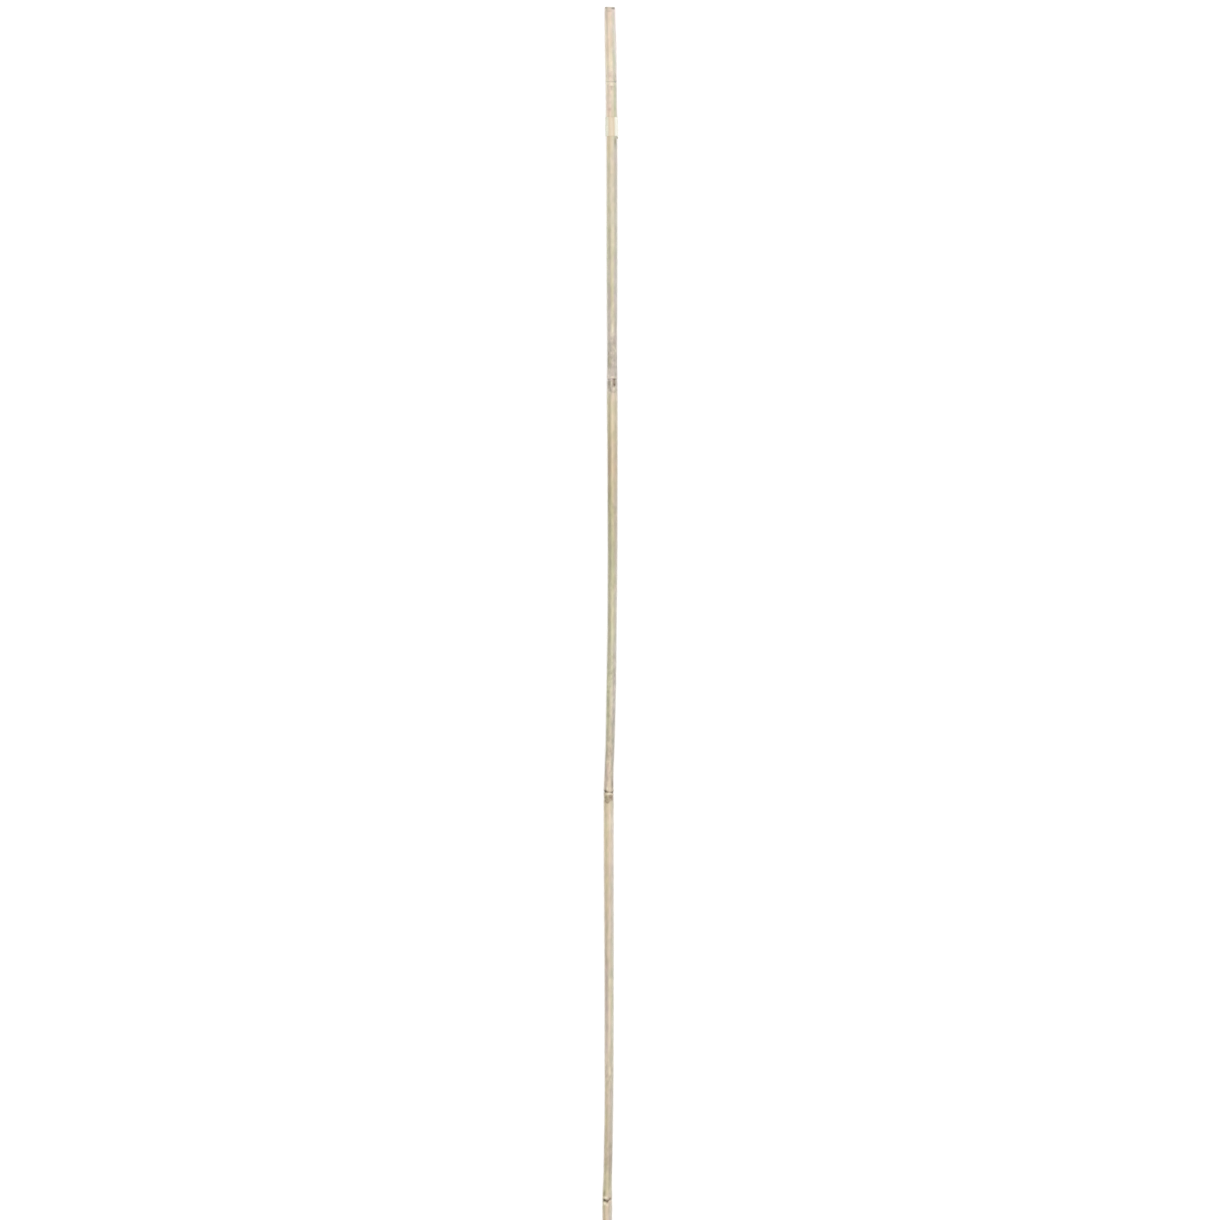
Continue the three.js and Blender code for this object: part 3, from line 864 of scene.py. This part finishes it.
# %% Film shape
film_low, film_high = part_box("label_film")
FILM_AROUND, FILM_ROWS = 160, 56
FILM_WALL, FILM_GAP, FILM_SLACK = 0.22, 0.32, 0.5
LAP_SIDE, LAP_STEP, TAIL_SIDE, TAIL_LONG, TAIL_HANG = 232, 0.2, -12, 3.6, 2.4
EDGE_WAVES = [(3, 0.12, 1), (8, 0.07, 0)]

film_from, film_to = (cad_high.y - film_high.y) / MM, (cad_high.y - film_low.y) / MM - TAIL_LONG
round_film = once_round(FILM_AROUND)
down = np.linspace(0, 1, FILM_ROWS)[:, None]


def film_wall(layer):
    """x, y, z of one wall: the cane's mean radius, plus gap, slack at the sides, lap and small waves."""
    edge_waves = sum(much * np.sin(count * round_film + start) for count, much, start in EDGE_WAVES)
    tail = TAIL_HANG * hump(turn_from(TAIL_SIDE, round_film) / 0.45) * down**3
    at = film_from + down * (film_to - film_from) + edge_waves * (2 * down - 1) + tail
    middle = cad_loops.mean(1)
    stem = between(cad_places, np.stack([middle.real, middle.imag, girth], 1),
                   np.repeat(at.mean(1, keepdims=True) * MM, 3, 1))
    middle_x, middle_z, mean_radius = stem[:, :1], stem[:, 1:2], stem[:, 2:]
    past_lap = turn_from(LAP_SIDE, round_film)
    lap = LAP_STEP * ease((past_lap + 0.02) / 0.05) * (1 - ease((past_lap - 0.1) / 1.1))
    ripple = 0.045 * np.sin(5 * round_film + 9 * down) * np.sin(np.pi * down)
    ripple = ripple + 0.03 * np.sin(13 * round_film + 4 * down)
    off = FILM_GAP + FILM_SLACK * np.cos(round_film) ** 2 + layer * (FILM_WALL + lap) + ripple
    r = mean_radius + off * MM
    across, up = middle_x + r * np.cos(round_film), middle_z + r * np.sin(round_film)
    return np.stack([across, cad_high.y - at * MM, up], 2)


walls = np.concatenate([film_wall(1.0), film_wall(0.0)[::-1]])
print(f"the film runs from {film_from:.1f} to {film_to:.1f} mm")

# %% [markdown]
# The outer wall's rows run down and the inner wall's come back up, so the rows close into a loop and the
# film is a ring of rings, like a tyre. It unrolls flat without a fold.

# %% Film to mesh
rows = len(walls)
k = np.arange(FILM_AROUND)
row = FILM_AROUND * np.arange(rows)[:, None]
next_row = FILM_AROUND * ((np.arange(rows) + 1) % rows)[:, None]
after = (k + 1) % FILM_AROUND
film_faces = np.stack([row + k, row + after, next_row + after, next_row + k], 2).reshape(-1, 4)
u, v = np.arange(rows)[:, None] / rows, k / FILM_AROUND
spread = [np.stack(np.broadcast_arrays(u + i / rows, v + j / FILM_AROUND), -1)
          for i, j in ((0, 0), (0, 1), (1, 1), (1, 0))]
film = make_mesh("label_wrap", walls.reshape(-1, 3), [film_faces], [np.stack(spread, 2).reshape(-1, 2)])
held = volume_inside(walls.reshape(-1, 3), film_faces)
print(f"the film holds {held / MM**3:.0f} cubic mm")

# %% [markdown]
# ## The finish of the film
#
# Film lets some light through and is milky. Its colour holds painted light: the loose sides are painted
# paler, the right one lightest, and the crown is painted warm with the cane's colour, as if seen through.
# Two faint patterns that run along it do the rest, a haze in the colour and a soft crinkle in the surface.

# %% Film finish
# The film's colour holds painted light: its loose sides are painted paler, the right one lightest.
FILM_CREAM, FILM_LEFT_PAINTED_LIGHT, FILM_RIGHT_PAINTED_LIGHT = (linear(c) for c in ((228, 211, 183), (240, 240, 222), (255, 255, 243)))
lean = np.cos(round_film)[None, :, None] + np.zeros((rows, 1, 1))
film_tint_with_painted_light = FILM_CREAM + (FILM_LEFT_PAINTED_LIGHT - FILM_CREAM) * ease((-0.35 - lean) / 0.5)
film_tint_with_painted_light = film_tint_with_painted_light + (FILM_RIGHT_PAINTED_LIGHT - FILM_CREAM) * ease((lean - 0.3) / 0.45)
give(film, "tint", "FLOAT_COLOR", np.concatenate([film_tint_with_painted_light, np.ones_like(lean)], 2).reshape(-1, 4))

wrap = Finish("label_film")
spot = wrap.node("ShaderNodeTexCoord").outputs["Object"]
haze = wrap.noise(spot, (700, 90, 700), 3.0, 0.6)
# The film's base colour carries the painted light of its tint and the painted warm crown.
milky = wrap.blend(1.0, wrap.read("tint"), wrap.span(haze, 0.3, 0.7, 0.93, 1.04), "MULTIPLY")
crease = wrap.noise(spot, (900, 260, 900), 2.0, 0.5)
crinkle = wrap.node("ShaderNodeBump", {"Height": crease, "Strength": 0.25, "Distance": 0.0002})
wrap.lay_on(film, {"Base Color": milky, "Roughness": wrap.span(haze, 0.3, 0.7, 0.24, 0.4),
                   "Normal": crinkle.outputs[0], "Alpha": 0.62})
print("film finish has", len(wrap.tree.nodes), "nodes")

# %% [markdown]
# ## Joining the packed object
#
# Both pieces stand for packed ones and move with its one body.

# %% Stand for the packed pieces
for piece, node, slot in ((cane, "cane", "cane_skin"), (film, "label_film", "film")):
    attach(piece, "root")
    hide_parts(node)
    print(piece.name, "stands for", node, "and has", len(piece.data.vertices), "points")

# %% [markdown]
# ## The floor
#
# The cane lies on a matt white sweep, one plain square that runs far past it on every side.

# %% Floor
FLOOR_HALF = 60.0
floor_mesh = bpy.data.meshes.new("floor")
floor_corners = [(FLOOR_HALF * a, FLOOR_HALF * b, 0) for a, b in ((-1, -1), (1, -1), (1, 1), (-1, 1))]
floor_mesh.from_pydata(floor_corners, [], [(0, 1, 2, 3)])
floor = bpy.data.objects.new("floor", floor_mesh)
bpy.context.scene.collection.objects.link(floor)
sweep = Finish("white_sweep")
sweep.lay_on(floor, {"Base Color": (0.97, 0.97, 0.965, 1), "Roughness": 0.9, "Specular IOR Level": 0.1})
print("floor", 2 * FLOOR_HALF, "m wide")

# %% [markdown]
# ## The light
#
# A broad soft light almost straight above shows the colours without a hard shadow. A white room fills in
# from all sides; its walls are brighter near the floor, so the sweep and the walls meet without a line.

# %% Light
DOME, WALL, WALL_TOP, KEY = 0.47, 1.1, 0.1, 2.5
LIGHT_SPREAD, LIGHT_TILT = np.radians(50), np.radians(1)
world = bpy.data.worlds.new("white_room")
world.use_nodes = True
room, backdrop = world.node_tree, world.node_tree.nodes["Background"]
looked_at, height_of, fade = (room.nodes.new(kind) for kind in
                              ("ShaderNodeTexCoord", "ShaderNodeSeparateXYZ", "ShaderNodeMapRange"))
room.links.new(looked_at.outputs["Generated"], height_of.inputs[0])
room.links.new(height_of.outputs["Z"], fade.inputs["Value"])
for name, value in {"From Min": WALL_TOP, "From Max": 2 * WALL_TOP, "To Min": WALL, "To Max": DOME}.items():
    fade.inputs[name].default_value = value
room.links.new(fade.outputs["Result"], backdrop.inputs["Strength"])
backdrop.inputs["Color"].default_value = (1, 1, 1, 1)
bpy.context.scene.world = world
lamp = bpy.data.lights.new("softbox", "SUN")
lamp.energy = KEY
lamp.angle = LIGHT_SPREAD
softbox = bpy.data.objects.new("softbox", lamp)
softbox.rotation_euler = (0.0, LIGHT_TILT, 0.0)
bpy.context.scene.collection.objects.link(softbox)
bpy.context.scene.view_settings.view_transform = "Standard"
print("light", KEY, "from above and", DOME, "all round")

# %% [markdown]
# ## The camera
#
# The camera hangs straight above the cane with a long lens, as far away as that lens needs to see a given
# length of it, so both ends look equally thick. The thin end runs out of its view.

# %% Camera
SEEN = 1183.4 * MM
LENS, SENSOR = 250.0, 36.0
THICK_END_FROM_TOP = 6.8 * MM
RIGHT_OF_THICK_END = 0.1 * MM
camera = bpy.data.objects.new("camera", bpy.data.cameras.new("camera"))
camera.data.lens, camera.data.sensor_width = LENS, SENSOR
stem_height = float(centre_z.mean())
camera.location = (float(centre_x[ENDS, 0]) + RIGHT_OF_THICK_END,
                   cad_high.y + THICK_END_FROM_TOP - SEEN / 2, stem_height + SEEN * LENS / SENSOR)
camera.data.clip_start, camera.data.clip_end = 0.1, 100.0
bpy.context.scene.collection.objects.link(camera)
bpy.context.scene.camera = camera
print("camera", np.round(camera.location, 3))

# %% [markdown]
# ## Sizes
#
# The finished cane keeps the size of the packed one, whose rings it is read from.
